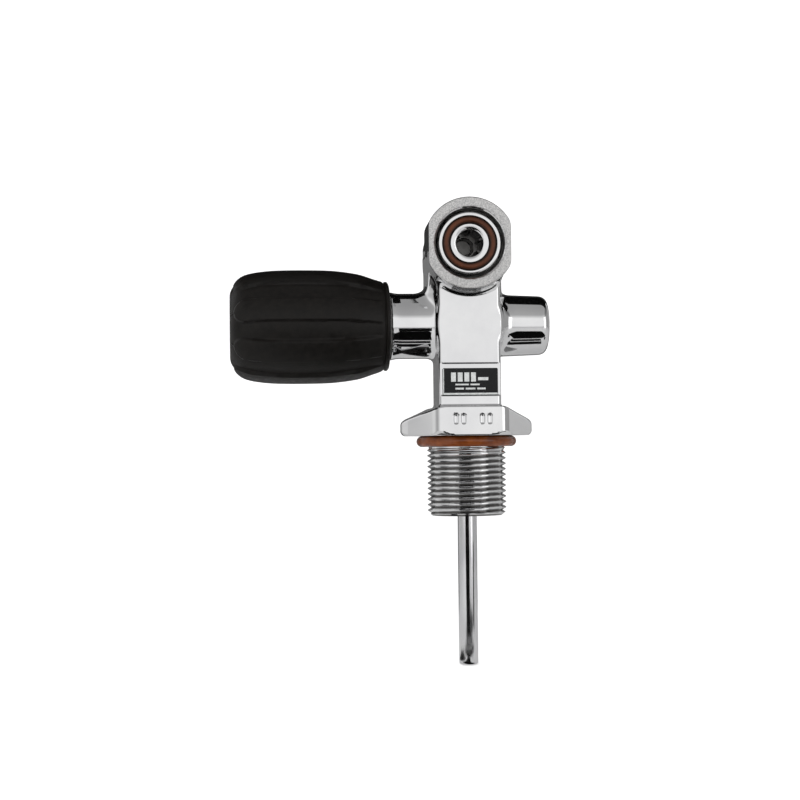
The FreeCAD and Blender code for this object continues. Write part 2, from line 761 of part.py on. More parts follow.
faults = ["%s %s" % (obj.Label, obj.State) for obj in doc.Objects
          if "Invalid" in obj.State or "Error" in obj.State]
for piece in finals:
    shape = piece.Shape
    if shape.isNull() or not shape.isValid() or len(shape.Solids) != 1:
        faults.append("%s is not one valid solid" % piece.Label)
if faults:
    raise RuntimeError("; ".join(faults))
for piece in finals:
    piece.Shape.exportStep("parts/%s.step" % piece.Label)
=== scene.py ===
"""A chromed gas valve with a rubber handwheel grip, on a pale floor.

Lengths are in millimetres and MM turns them into metres. The threaded neck and its dip tube run
down Z, with z = 0 at the underside of the flange. The stem lies along X: grip at -X, burst plug
at +X. The outlet in the head faces the front, -Y.
"""
import bpy
import functools
import math
import numpy as np
from mathutils import Matrix, Vector


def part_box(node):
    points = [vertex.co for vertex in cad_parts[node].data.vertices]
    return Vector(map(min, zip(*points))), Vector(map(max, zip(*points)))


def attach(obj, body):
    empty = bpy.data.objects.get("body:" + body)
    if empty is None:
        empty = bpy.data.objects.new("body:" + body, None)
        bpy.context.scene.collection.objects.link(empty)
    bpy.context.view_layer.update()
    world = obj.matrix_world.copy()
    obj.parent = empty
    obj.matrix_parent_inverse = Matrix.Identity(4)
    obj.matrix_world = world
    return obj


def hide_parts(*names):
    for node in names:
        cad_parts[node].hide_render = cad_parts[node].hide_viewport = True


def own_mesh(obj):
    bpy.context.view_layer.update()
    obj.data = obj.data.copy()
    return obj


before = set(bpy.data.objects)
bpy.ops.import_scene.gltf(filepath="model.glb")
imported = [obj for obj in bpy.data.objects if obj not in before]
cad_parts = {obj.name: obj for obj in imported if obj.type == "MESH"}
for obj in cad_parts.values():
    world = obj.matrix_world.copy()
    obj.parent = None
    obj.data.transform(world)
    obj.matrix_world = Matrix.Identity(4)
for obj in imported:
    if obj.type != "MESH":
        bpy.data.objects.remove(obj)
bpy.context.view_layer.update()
MM = 0.001

# ------------------------------------------------------- driving dimensions
HEAD_Z, HEAD_R, HEAD_HALF_WIDTH, HEAD_FRONT, HEAD_BACK = 63.0, 15.2, 13.6, -16.4, 15.5
STEM_Z, BOSS_R, BOSS_END = 36.7, 10.9, -25.5
STUB_R, STUB_R_END, STUB_START, STUB_END = 10.45, 9.75, 9.0, 27.5
COLUMN_HALF_WIDTH, COLUMN_FRONT, COLUMN_BACK = 10.3, -13.1, 11.5
THREAD_PITCH = 25.4 / 14
NECK_MAJOR, NECK_MINOR = 13.1, 11.95
INSERT_FRONT, INSERT_REAR, KEY_HOLE_R = -15.4, -0.8, 4.4
FACE_SEAL_R, FACE_GLAND_HALF = 7.7, 1.34
REAR_SEAL_R, REAR_GLAND_HALF = 8.0, 0.98
STEM_CENTRE = (0, 0, STEM_Z)
HEAD_CENTRE = (0, 0, HEAD_Z)
NECK_CENTRE = (0, 0, 0)


# ================================================================= materials
class Nodes:
    """Short calls that build a node tree. An input takes a socket, a number or a colour."""

    def __init__(self, owner, output, shader, coords):
        self.owner = owner
        owner.use_nodes = True
        self.tree = owner.node_tree
        self.tree.nodes.clear()
        out = self.add(output)
        self.shader = self.add(shader)
        self.put(self.shader.outputs[0], out.inputs[0])
        self.coords = self.add("TexCoord").outputs[coords]

    def add(self, kind):
        return self.tree.nodes.new("ShaderNode" + kind)

    def put(self, value, socket):
        if isinstance(value, bpy.types.NodeSocket):
            self.tree.links.new(value, socket)
        elif isinstance(value, tuple):
            socket.default_value = (*value, 1)
        else:
            socket.default_value = value

    def set(self, name, value):
        self.put(value, self.shader.inputs[name])

    def source(self, name):
        """The socket that feeds a shader input."""
        return self.shader.inputs[name].links[0].from_socket

    def overlay(self, name, mask, value):
        """Lays value over what already feeds a shader input, where mask is 1."""
        self.set(name, self.mix(mask, self.source(name), value))

    def noise(self, scale, detail=4.0, rough=0.55, stretch=None):
        coords = self.coords
        if stretch:
            mapping = self.add("Mapping")
            mapping.inputs["Scale"].default_value = stretch
            self.put(coords, mapping.inputs["Vector"])
            coords = mapping.outputs[0]
        node = self.add("TexNoise")
        node.inputs["Scale"].default_value = scale
        node.inputs["Detail"].default_value = detail
        node.inputs["Roughness"].default_value = rough
        self.put(coords, node.inputs["Vector"])
        return node.outputs["Fac"]

    def ramp(self, value, *stops):
        """Grey ramp. Each stop is (position, grey level)."""
        node = self.add("ValToRGB")
        elements = node.color_ramp.elements
        while len(elements) < len(stops):
            elements.new(0.5)
        for element, (position, grey) in zip(elements, stops):
            element.position = position
            element.color = (grey, grey, grey, 1)
        self.put(value, node.inputs[0])
        return node.outputs[0]

    def math(self, operation, first, second=None):
        node = self.add("Math")
        node.operation = operation
        self.put(first, node.inputs[0])
        if second is not None:
            self.put(second, node.inputs[1])
        return node.outputs[0]

    def mix(self, mask, off, on):
        node = self.add("Mix")
        node.data_type = "RGBA"
        for index, value in ((0, mask), (6, off), (7, on)):
            self.put(value, node.inputs[index])
        return node.outputs[2]

    def bump(self, height, strength, distance):
        node = self.add("Bump")
        node.inputs["Strength"].default_value = strength
        node.inputs["Distance"].default_value = distance
        self.put(height, node.inputs["Height"])
        self.set("Normal", node.outputs[0])

    def weighted(self, first, first_weight, second, second_weight):
        return self.math("ADD", self.math("MULTIPLY", first, first_weight),
                         self.math("MULTIPLY", second, second_weight))

    def split(self):
        """The x, y and z of the coordinates."""
        node = self.add("SeparateXYZ")
        self.put(self.coords, node.inputs[0])
        return tuple(node.outputs)

    def square(self, value):
        return self.math("POWER", value, 2.0)

    def root_sum(self, first, second):
        return self.math("SQRT", self.math("ADD", first, second))

    def head_radius(self, x, z):
        """Distance from the axis of the head."""
        height = self.math("SUBTRACT", z, HEAD_Z * MM)
        return self.root_sum(self.square(x), self.square(self.math("ABSOLUTE", height)))


def material_nodes(name):
    return Nodes(bpy.data.materials.new(name), "OutputMaterial", "BsdfPrincipled", "Object")


def metal(name, dark, light, rough=(0.05, 0.14), grain=900.0, stretch=None, smudge=60.0):
    """Broad smudges of scale smudge over a fine grain; rough is the roughness range."""
    nodes = material_nodes(name)
    nodes.set("Metallic", 1.0)
    broad = nodes.noise(scale=smudge, detail=5.0)
    nodes.set("Base Color", nodes.mix(nodes.ramp(broad, (0.3, 0.0), (0.75, 1.0)), dark, light))
    fine = nodes.noise(scale=grain, detail=3.0, stretch=stretch)
    surface = nodes.weighted(broad, 0.5, fine, 0.5)
    nodes.set("Roughness", nodes.ramp(surface, (0.32, rough[0]), (0.68, rough[1])))
    nodes.bump(surface, strength=0.03, distance=0.0002)
    return nodes


def plastic(name, dark, light, rough=(0.3, 0.5), mottle=400.0, grain=3000.0, relief=0.15,
            relief_depth=0.00006, specular=0.5):
    """Mottled colour and roughness over a fine bumpy grain."""
    nodes = material_nodes(name)
    broad = nodes.noise(scale=mottle, detail=5.0)
    nodes.set("Base Color", nodes.mix(nodes.ramp(broad, (0.25, 0.0), (0.8, 1.0)), dark, light))
    nodes.set("Roughness", nodes.ramp(broad, (0.3, rough[0]), (0.7, rough[1])))
    nodes.set("Specular IOR Level", specular)
    nodes.bump(nodes.noise(scale=grain, detail=3.0), strength=relief, distance=relief_depth)
    return nodes


def chrome_body():
    """Bright chrome, with a duller ring on the outlet face and painted shade darkening the
    socket, which is also rougher.
    """
    nodes = material_nodes("chrome_body")
    calc = nodes.math
    nodes.set("Metallic", 1.0)
    x, y, z = nodes.split()
    face = calc("MULTIPLY", calc("LESS_THAN", y, (HEAD_FRONT + 0.12) * MM),
                calc("GREATER_THAN", z, 44.0 * MM))
    broad = nodes.noise(scale=55.0, detail=5.0)
    bright = nodes.mix(nodes.ramp(broad, (0.3, 0.0), (0.75, 1.0)),
                       off=(0.70, 0.70, 0.71), on=(0.82, 0.82, 0.82))
    grit = nodes.noise(scale=2600.0, detail=2.0, rough=0.7)
    mottle = nodes.noise(scale=500.0, detail=3.0)
    dull = nodes.mix(nodes.ramp(grit, (0.35, 0.0), (0.65, 1.0)),
                     off=(0.40, 0.40, 0.40), on=(0.74, 0.73, 0.72))
    radius = nodes.head_radius(x, z)
    socket_r, socket_mid, socket_half = 11.7 * MM, 4.4 * MM, 11.4 * MM
    # bore masks the socket and the head bore, where painted shade darkens the chrome
    bore = calc("MULTIPLY", calc("LESS_THAN", radius, socket_r),
                calc("LESS_THAN", calc("ABSOLUTE", calc("ADD", y, socket_mid)), socket_half))
    # painted shade: a dark mottled grey in place of chrome inside the socket
    painted_shade = nodes.mix(mottle, off=(0.10, 0.098, 0.094), on=(0.34, 0.335, 0.325))
    nodes.set("Base Color", nodes.mix(bore, nodes.mix(face, bright, dull), painted_shade))
    fine = nodes.noise(scale=1200.0, detail=3.0)
    bright_rough = nodes.ramp(nodes.weighted(broad, 0.6, fine, 0.4), (0.35, 0.035), (0.7, 0.10))
    dull_rough = nodes.ramp(grit, (0.3, 0.34), (0.7, 0.5))
    socket_rough = nodes.ramp(mottle, (0.3, 0.25), (0.7, 0.45))
    nodes.set("Roughness", nodes.mix(bore, nodes.mix(face, bright_rough, dull_rough), socket_rough))
    height = nodes.weighted(broad, 0.35, calc("MULTIPLY", grit, face), 0.25)
    nodes.bump(height, strength=0.12, distance=0.0004)
    return nodes


def chrome_insert():
    """Chrome outside; painted shade darkens the key hole and the face gland, which are also
    duller.
    """
    nodes = metal("chrome_insert", dark=(0.68, 0.68, 0.69), light=(0.82, 0.82, 0.82))
    calc = nodes.math
    x, y, z = nodes.split()
    radius = nodes.head_radius(x, z)
    gland_half, gland_front, gland_back = 1.40 * MM, (INSERT_FRONT + 0.06) * MM, -13.2 * MM
    off_middle = calc("ABSOLUTE", calc("SUBTRACT", radius, FACE_SEAL_R * MM))
    gland = calc("MULTIPLY", calc("LESS_THAN", off_middle, gland_half),
                 calc("MULTIPLY", calc("GREATER_THAN", y, gland_front),
                      calc("LESS_THAN", y, gland_back)))
    # painted shade: the key hole and the face gland get a near-black mottled grey
    hole = calc("MAXIMUM", calc("LESS_THAN", radius, (KEY_HOLE_R + 0.06) * MM), gland)
    mottle = nodes.noise(scale=450.0)
    painted_shade = nodes.mix(mottle, off=(0.02, 0.02, 0.02), on=(0.14, 0.135, 0.13))
    nodes.overlay("Base Color", hole, painted_shade)
    nodes.overlay("Roughness", hole, nodes.ramp(mottle, (0.3, 0.25), (0.7, 0.5)))
    return nodes


def face_seal():
    """Brown elastomer, with painted shade darkening it where it dips into its gland."""
    nodes = plastic("brown_face_seal", dark=(0.044, 0.012, 0.0042), light=(0.118, 0.034, 0.012),
                    rough=(0.25, 0.42), mottle=260.0, grain=2500.0, relief=0.2,
                    relief_depth=0.00005, specular=0.25)
    calc = nodes.math
    x, _, z = nodes.split()
    bright_r, fade = 7.75 * MM, 1.15 * MM
    # painted shade, growing away from the middle radius of the ring
    off_middle = calc("ABSOLUTE", calc("SUBTRACT", nodes.head_radius(x, z), bright_r))
    shade = nodes.ramp(calc("MULTIPLY", off_middle, 1.0 / fade), (0.25, 0.0), (0.85, 1.0))
    nodes.overlay("Base Color", shade, (0.012, 0.005, 0.003))
    return nodes


def chrome_thread():
    """Chromed thread, with painted shade darkening it down in its roots."""
    nodes = metal("chrome_thread", dark=(0.74, 0.74, 0.75), light=(0.90, 0.90, 0.90),
                  rough=(0.05, 0.16), grain=1500.0, smudge=160.0)
    calc = nodes.math
    x, y, _ = nodes.split()
    radius = nodes.root_sum(nodes.square(calc("ABSOLUTE", x)), nodes.square(calc("ABSOLUTE", y)))
    above_root = calc("MULTIPLY", calc("SUBTRACT", radius, NECK_MINOR * MM),
                      1.0 / ((NECK_MAJOR - NECK_MINOR) * MM))
    # painted shade: dark grey in the roots, fading to the chrome towards the crests
    crest = nodes.ramp(above_root, (0.02, 0.0), (0.42, 1.0))
    nodes.set("Base Color", nodes.mix(crest, (0.13, 0.125, 0.12), nodes.source("Base Color")))
    return nodes


SHADERS = {
    "insert": chrome_insert(),
    "body": chrome_body(),
    "chrome": metal("chrome_small", dark=(0.68, 0.68, 0.69), light=(0.82, 0.82, 0.82),
                    rough=(0.04, 0.12)),
    "tube": metal("chrome_tube", dark=(0.64, 0.64, 0.66), light=(0.80, 0.80, 0.80),
                  rough=(0.06, 0.16), grain=1500.0, stretch=(1, 1, 0.08)),
    "thread": chrome_thread(),
    "brass": metal("turned_brass", dark=(0.62, 0.44, 0.17), light=(0.80, 0.62, 0.30),
                   rough=(0.15, 0.3), grain=1500.0, stretch=(0.1, 1, 1)),
    "copper": metal("copper", dark=(0.66, 0.34, 0.20), light=(0.82, 0.48, 0.32),
                    rough=(0.2, 0.35)),
    "steel": metal("stainless", dark=(0.45, 0.45, 0.46), light=(0.66, 0.66, 0.66),
                   rough=(0.18, 0.32), grain=1800.0, stretch=(0.1, 1, 1)),
    "ptfe": plastic("ptfe", dark=(0.72, 0.72, 0.69), light=(0.86, 0.86, 0.83),
                    rough=(0.35, 0.5)),
    "nylon": plastic("nylon", dark=(0.66, 0.62, 0.50), light=(0.80, 0.77, 0.66),
                     rough=(0.35, 0.5)),
    "core": plastic("core_plastic", dark=(0.010, 0.010, 0.011), light=(0.028, 0.028, 0.03),
                    rough=(0.25, 0.42)),
    "grip": plastic("grip_rubber", dark=(0.0030, 0.0026, 0.0022), light=(0.0085, 0.0072, 0.0060),
                    rough=(0.34, 0.48), mottle=500.0, grain=2600.0, relief=0.5,
                    relief_depth=0.00012, specular=0.20),
    "neck_seal": plastic("brown_seal", dark=(0.10, 0.019, 0.0025), light=(0.29, 0.072, 0.011),
                         rough=(0.13, 0.28), mottle=300.0, grain=2500.0, relief=0.2,
                         relief_depth=0.00005, specular=0.45),
    "face_seal": face_seal(),
    "black_seal": plastic("black_seal", dark=(0.008, 0.008, 0.008), light=(0.028, 0.027, 0.026),
                          rough=(0.28, 0.45)),
    "plate": plastic("plate_enamel", dark=(0.003, 0.0035, 0.004), light=(0.010, 0.011, 0.012),
                     rough=(0.16, 0.34), mottle=220.0, grain=2200.0, relief=0.1,
                     relief_depth=0.00003, specular=0.22),
    "plate_print": plastic("plate_print", dark=(0.50, 0.52, 0.52), light=(0.82, 0.83, 0.82),
                           rough=(0.35, 0.5), mottle=900.0),
}
MATERIALS = {key: nodes.owner for key, nodes in SHADERS.items()}


# ============================================================== mesh helpers
def rise(value, start, length):
    """Runs from 0 to 1 as value goes from start over length."""
    return np.clip((value - start) / length, 0, 1)


def smooth_step(share):
    return share * share * (3 - 2 * share)


def link_object(name, mesh):
    obj = bpy.data.objects.new(name, mesh)
    bpy.context.scene.collection.objects.link(obj)
    return obj


def mesh_object(name, verts, faces, material, part, slot, replaces=(), angle=None, normals=None):
    """Makes a smooth object that rides on part. Edges sharper than angle (degrees) stay hard."""
    mesh = bpy.data.meshes.new(name)
    mesh.from_pydata(np.asarray(verts, float) * MM, [], faces)
    mesh.validate(clean_customdata=False)
    mesh.shade_smooth()
    if angle:
        mesh.set_sharp_from_angle(angle=math.radians(angle))
    if normals is not None:
        mesh.normals_split_custom_set_from_vertices(normals)
    mesh.materials.append(MATERIALS[material])
    obj = link_object(name, mesh)
    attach(obj, part)
    if replaces:
        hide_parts(*replaces)
    return obj


def grid_faces(rows, cols, join_rows=False, join_cols=True):
    """Quads over rows of points, optionally joined round in either direction."""
    faces = []
    for row in range(rows if join_rows else rows - 1):
        here = row * cols
        after = (row + 1) % rows * cols
        for col in range(cols if join_cols else cols - 1):
            beside = (col + 1) % cols
            faces.append((here + col, here + beside, after + beside, after + col))
    return faces


def shifted(faces, offset):
    return [tuple(i + offset for i in face) for face in faces]


# the axis itself, then the two directions across it
AXES = {"X": (0, 1, 2), "Y": (1, 2, 0), "Z": (2, 0, 1)}


def to_xyz(axis, along, radius, theta, centre):
    """Cylindrical points about a main axis, right-handed about +axis."""
    main, first, second = AXES[axis]
    out = np.zeros(np.broadcast(along, radius, theta).shape + (3,))
    out[..., main] = along
    out[..., first] = radius * np.cos(theta)
    out[..., second] = radius * np.sin(theta)
    return out + np.asarray(centre, float)


def rings(axis, profile, centre, segments, closed=True):
    """Surface of revolution. profile: (along, radius or radius(theta)) in order."""
    theta = np.arange(segments) * 2 * np.pi / segments
    verts = [to_xyz(axis, along, radius(theta) if callable(radius) else radius, theta, centre)
             for along, radius in profile]
    return np.vstack(verts), grid_faces(len(profile), segments, join_rows=closed)


def fix_outward(verts, faces):
    """Flips the faces if the closed surface is inside out."""
    verts = np.asarray(verts)
    volume = 0.0
    for face in faces:
        corner = verts[face[0]]
        for k in range(1, len(face) - 1):
            volume += float(np.dot(corner, np.cross(verts[face[k]], verts[face[k + 1]])))
    return [tuple(reversed(face)) for face in faces] if volume < 0 else faces


def weld(verts, faces, tolerance=1e-4):
    """Merges coincident points and drops collapsed faces."""
    keys = np.round(verts / tolerance).astype(np.int64)
    _, first, inverse = np.unique(keys, axis=0, return_index=True, return_inverse=True)
    inverse = inverse.reshape(-1)
    kept = []
    for face in faces:
        loop = []
        for i in face:
            j = int(inverse[i])
            if not loop or loop[-1] != j:
                loop.append(j)
        if len(loop) > 1 and loop[0] == loop[-1]:
            loop.pop()
        if len(loop) > 2 and len(set(loop)) == len(loop):
            kept.append(tuple(loop))
    return verts[first], kept


def turned(name, axis, profile, centre, segments, angle=None, **look):
    verts, faces = rings(axis, profile, centre, segments)
    mesh_object(name, verts, fix_outward(verts, faces), angle=angle, **look)


def torus(name, axis, mid_radius, tube_radius, along, centre, **look):
    steps = 40
    profile = [(along + tube_radius * math.sin(t), mid_radius + tube_radius * math.cos(t))
               for t in np.arange(steps) * 2 * np.pi / steps]
    turned(name, axis, profile, centre, segments=160, **look)


def thread_radius(phase, major, minor, crest, root):
    """Radius of a V thread at a phase in turns; crest and root are its flat shares."""
    peak = np.abs((phase % 1.0) - 0.5) * 2.0        # 1 at the crest, 0 at the root
    return minor + (major - minor) * rise(peak, root, 1.0 - crest - root)


# where in a turn the thread profile is sampled
THREAD_PHASES = np.array([0.0, 0.06, 0.14, 0.25, 0.36, 0.43, 0.47, 0.53, 0.57, 0.64, 0.75,
                          0.86, 0.94])


def threaded(name, axis, centre, start, end, major, minor, shape, rest, segments=120,
             crest=0.14, root=0.12, **look):
    """Closed solid with a true helical thread between start and end.

    shape(radius, along) trims the thread; rest is the other profile from end back to start.
    """
    theta = np.arange(segments + 1) * 2 * np.pi / segments
    turns = int(math.ceil((end - start) / THREAD_PITCH)) + 3
    base = start - 1.5 * THREAD_PITCH
    levels = np.concatenate([(k + THREAD_PHASES) for k in range(turns)])
    shift = theta / (2 * np.pi)
    along = base + THREAD_PITCH * (levels[:, None] + shift[None, :])
    radius = thread_radius(np.broadcast_to(levels[:, None], along.shape),
                           major, minor, crest, root)
    along = np.clip(along, start, end)
    radius = shape(radius, along)
    verts = to_xyz(axis, along, radius, theta[None, :], centre).reshape(-1, 3)
    faces = grid_faces(len(levels), segments + 1, join_cols=False)
    end_r, start_r = (float(shape(np.array(major), np.array(at))) for at in (end, start))
    profile = [(end, end_r)] + list(rest) + [(start, start_r)]
    rest_verts, rest_faces = rings(axis, profile, centre, segments, closed=False)
    faces += shifted(rest_faces, len(verts))
    verts, faces = weld(np.vstack([verts, rest_verts]), faces)
    mesh_object(name, verts, fix_outward(verts, faces), angle=40, **look)


# ========================================================== valve body field
# Each function gives a signed distance, negative inside the metal or the cut.
def smooth_min(first, second, blend):
    overlap = np.maximum(blend - np.abs(first - second), 0.0) / blend
    return np.minimum(first, second) - overlap * overlap * blend * 0.25


def smooth_max(first, second, blend):
    return -smooth_min(-first, -second, blend)


def span(along, start, end):
    return np.maximum(start - along, along - end)


def slope(across, up, plane):
    """Sloping face. plane: (weight across, weight up, offset)."""
    return plane[0] * across + plane[1] * up - plane[2]


def rounded_box(point, centre, half, radius):
    """Box in two or three directions, its edges rounded to radius."""
    excess = [np.abs(p - c) - (h - radius) for p, c, h in zip(point, centre, half)]
    outside = np.sqrt(sum(np.maximum(e, 0) ** 2 for e in excess))
    return outside + np.minimum(functools.reduce(np.maximum, excess), 0) - radius


def capsule(x, y, z, start, end, radius):
    start, end = np.array(start, float), np.array(end, float)
    way = end - start
    share = ((x - start[0]) * way[0] + (y - start[1]) * way[1]
             + (z - start[2]) * way[2]) / float(way @ way)
    share = np.clip(share, 0, 1)
    return np.sqrt((x - start[0] - share * way[0]) ** 2 + (y - start[1] - share * way[1]) ** 2
                   + (z - start[2] - share * way[2]) ** 2) - radius


FLANGE_HALF_FLATS, FLANGE_TOP = 19.05, 9.7
ROOF, ROOF_CORNER, UNDERSIDE = (0.41, 0.912, 13.18), (0.77, 0.636, 19.55), (0.70, -0.714, 14.20)
COLUMN_BOTTOM, COLUMN_TOP, COLUMN_FRONT_CORNER, COLUMN_BACK_CORNER = 2.0, 56.0, 1.5, 6.4
HEAD_DRAFT = 0.038                      # loss of radius per mm towards the back
WEB_INSET, WEB_Y, WEB_Z, WEB_HALF_DEPTH, WEB_HALF_HEIGHT = 0.4, 1.5, 55.0, 9.5, 10.0
RECESS_Z, RECESS_HALF = 18.45, (9.8, 2.5, 5.35)
MARK_XS, MARK_Y, MARK_Z, MARK_R = (-5.6, -3.1, 3.0, 5.5), -19.40, 5.4, 0.95
SOCKET_R, SOCKET_FLOOR, SOCKET_CHAMFER, SOCKET_CHAMFER_DEPTH = 11.5, -0.5, 0.5, 2.0
HEAD_BORE = (-1.0, 6.0, 3.0)            # start y, end y, radius
# start x, end x, radius: three bores for the stem, then the burst port and its passage
STEM_BORES = [(-30.0, -17.5, 9.05), (-18.0, -5.0, 6.4), (-5.5, 0.5, 2.4),
              (15.0, 40.0, 7.05), (-0.5, 16.0, 2.0)]
SEAT_GROOVE, SEAT_R, SEAT_GROOVE_R = (-5.5, -4.0), 3.4, 6.4   # x range, inner and outer radius
INLET_R = 2.6
GAS_WAY = ((-5.4, 0.5, 40.5), (-0.3, 3.8, 62.0))              # ends of the slanting passage
GAS_WAY_R = 2.2


def flange(x, y, z):
    """Hexagon under a roof that falls to both X corners, the corners a little full."""
    x = x * (1 - 0.033 * rise(np.abs(x), 13.0, 7.0))
    sides = [np.abs(x * math.cos(turn) + y * math.sin(turn)) - FLANGE_HALF_FLATS
             for turn in (math.radians(90), math.radians(150), math.radians(210))]
    hexagon = smooth_max(smooth_max(sides[0], sides[1], blend=2.2), sides[2], blend=2.2)
    top = smooth_max(z - FLANGE_TOP, slope(np.abs(x), z, ROOF), blend=0.8)
    top = smooth_max(top, slope(np.abs(x), z, ROOF_CORNER), blend=1.2)
    bottom = smooth_max(-z, slope(np.sqrt(x * x + y * y), z, UNDERSIDE), blend=0.4)
    return smooth_max(smooth_max(hexagon, top, blend=0.7), bottom, blend=0.35)


def column(x, y, z):
    """Rounded rectangle with larger back corners."""
    outline = rounded_box((x, y), (0, (COLUMN_FRONT + COLUMN_BACK) / 2),
                          (COLUMN_HALF_WIDTH, (COLUMN_BACK - COLUMN_FRONT) / 2),
                          np.where(y < 0, COLUMN_FRONT_CORNER, COLUMN_BACK_CORNER))
    return np.maximum(outline, span(z, COLUMN_BOTTOM, COLUMN_TOP))


def boss(x, stem_r):
    """Cylinder at -X that flares at its end."""
    flare = 0.6 * rise(-x, 22.0, 3.5) ** 2
    return smooth_max(stem_r - (BOSS_R + flare), span(x, BOSS_END, 2.0), blend=0.8)


def stub(x, stem_r):
    """Tapered cylinder at +X."""
    radius = STUB_R + (STUB_R_END - STUB_R) * rise(x, STUB_START, STUB_END - STUB_START)
    return smooth_max(stem_r - radius, span(x, -2.0, STUB_END), blend=3.2)


def web(x, y, z):
    """Block that carries the head down to the boss."""
    centre = ((COLUMN_HALF_WIDTH - HEAD_HALF_WIDTH) / 2 + WEB_INSET, WEB_Y, WEB_Z)
    half = ((HEAD_HALF_WIDTH + COLUMN_HALF_WIDTH) / 2 - WEB_INSET,
            WEB_HALF_DEPTH, WEB_HALF_HEIGHT)
    return rounded_box((x, y, z), centre, half, radius=2.5)


def head(x, y, head_r):
    """Drafted cylinder along Y with flat sides and a domed back."""
    draft = HEAD_DRAFT * np.clip(y - HEAD_FRONT, 0, 30)
    field = smooth_max(head_r - HEAD_R + draft, np.abs(x) - HEAD_HALF_WIDTH + draft, blend=0.7)
    field = smooth_max(field, HEAD_FRONT - y, blend=0.5)
    return smooth_max(field, y - HEAD_BACK, blend=9.5)


def cuts(x, y, z, stem_r, head_r):
    """The sharp-edged cuts of the body."""
    socket = np.maximum(head_r - SOCKET_R, y - SOCKET_FLOOR)
    mouth = (head_r - (SOCKET_R + SOCKET_CHAMFER) + (y - HEAD_FRONT)) * 0.7071
    yield np.minimum(socket, np.maximum(mouth, y - HEAD_FRONT - SOCKET_CHAMFER_DEPTH))
    start, end, radius = HEAD_BORE
    yield np.maximum(head_r - radius, span(y, start, end))
    # conical dimple for the yoke screw: radius at the back face, then its slope
    dimple = (head_r - 4.6) * 0.49 - (y - HEAD_BACK) * 0.87
    yield np.maximum(dimple, 10.0 - y)
    for start, end, radius in STEM_BORES:
        yield np.maximum(stem_r - radius, span(x, start, end))
    yield np.maximum(np.maximum(stem_r - SEAT_GROOVE_R, SEAT_R - stem_r), span(x, *SEAT_GROOVE))
    yield np.maximum(np.sqrt(x * x + y * y) - INLET_R, z - STEM_Z - 1.5)
    yield capsule(x, y, z, *GAS_WAY, GAS_WAY_R)


def body_field(x, y, z):
    stem_r = np.sqrt(y * y + (z - STEM_Z) ** 2)
    head_r = np.sqrt(x * x + (z - HEAD_Z) ** 2)
    field = smooth_min(flange(x, y, z), column(x, y, z), blend=1.0)
    field = smooth_min(field, boss(x, stem_r), blend=3.4)
    # the fillet round the stub grows towards the front
    front = smooth_step(rise(-y / np.maximum(stem_r, 1e-6), 0.7, 0.3)) * rise(x, 8.2, 2.1)
    field = smooth_min(field, stub(x, stem_r), blend=2.4 + 3.4 * front)
    field = smooth_min(field, web(x, y, z), blend=5.0)
    field = smooth_min(field, head(x, y, head_r), blend=1.6 + 1.3 * rise(-y, 8.0, 4.0))
    # label recess and date marks
    recess = rounded_box((x, y, z), (0, COLUMN_FRONT - 2.0, RECESS_Z), RECESS_HALF, radius=0.2)
    field = smooth_max(field, -recess, blend=0.2)
    for mark_x in MARK_XS:
        mark = capsule(x, y, z, (mark_x, MARK_Y, MARK_Z - MARK_R),
                       (mark_x, MARK_Y, MARK_Z + MARK_R), MARK_R)
        field = smooth_max(field, -mark, blend=0.12)
    for cut in cuts(x, y, z, stem_r, head_r):
        field = np.maximum(field, -cut)
    return field


def sample_field(field, axes, slab=24):
    """Field values over the grid, worked out a slab at a time to save memory."""
    values = np.empty([len(a) for a in axes], np.float32)
    grid_y, grid_z = np.meshgrid(axes[1], axes[2], indexing="ij")
    for i in range(0, len(axes[0]), slab):
        xs = axes[0][i:i + slab]
        values[i:i + slab] = field(xs[:, None, None].astype(np.float64),
                                   grid_y[None].astype(np.float64),
                                   grid_z[None].astype(np.float64))
    return values


def cell_points(values, cells):
    """Mean of the edge crossings of each cell, in grid steps."""
    I, J, K = cells
    total = np.zeros((len(I), 3))
    count = np.zeros(len(I))
    for a in range(3):
        b, c = [other for other in range(3) if other != a]
        for u in (0, 1):
            for v in (0, 1):
                near = [0, 0, 0]
                near[b], near[c] = u, v
                far = list(near)
                far[a] = 1
                f0 = values[I + near[0], J + near[1], K + near[2]]
                f1 = values[I + far[0], J + far[1], K + far[2]]
                crossed = (f0 < 0) != (f1 < 0)
                share = np.where(crossed, f0 / np.where(crossed, f0 - f1, 1.0), 0.0)
                point = np.zeros((len(I), 3))
                point[:, b], point[:, c], point[:, a] = u, v, share
                total += point * crossed[:, None]
                count += crossed
    return total / count[:, None] + np.stack([I, J, K], 1)


def cell_quads(inside, ids):
    """One quad round every grid edge that crosses the surface."""
    quads = []
    for a in range(3):
        b, c = (a + 1) % 3, (a + 2) % 3
        near, far = [slice(1, -1)] * 3, [slice(1, -1)] * 3
        near[a], far[a] = slice(0, -1), slice(1, None)
        s0, s1 = inside[tuple(near)], inside[tuple(far)]
        for mask, flip in ((s0 & ~s1, False), (~s0 & s1, True)):
            edges = np.stack(np.nonzero(mask), 1)
            corners = []
            for db, dc in ((0, 0), (1, 0), (1, 1), (0, 1)):
                cell = edges.copy()
                cell[:, b] += db
                cell[:, c] += dc
                corners.append(ids[cell[:, 0], cell[:, 1], cell[:, 2]])
            quad = np.stack(corners, 1)
            quads.append(quad[:, ::-1] if flip else quad)
    return np.vstack(quads)


def gradient(field, points, reach):
    slopes = np.empty_like(points)
    for a in range(3):
        probe = points.copy()
        probe[:, a] += reach
        ahead = field(probe[:, 0], probe[:, 1], probe[:, 2])
        probe[:, a] -= 2 * reach
        slopes[:, a] = (ahead - field(probe[:, 0], probe[:, 1], probe[:, 2])) / (2 * reach)
    return slopes


def limited(moves, limit):
    """Shortens the moves that are longer than limit."""
    length = np.linalg.norm(moves, axis=1, keepdims=True)
    return moves * np.minimum(1.0, limit / np.maximum(length, 1e-9))


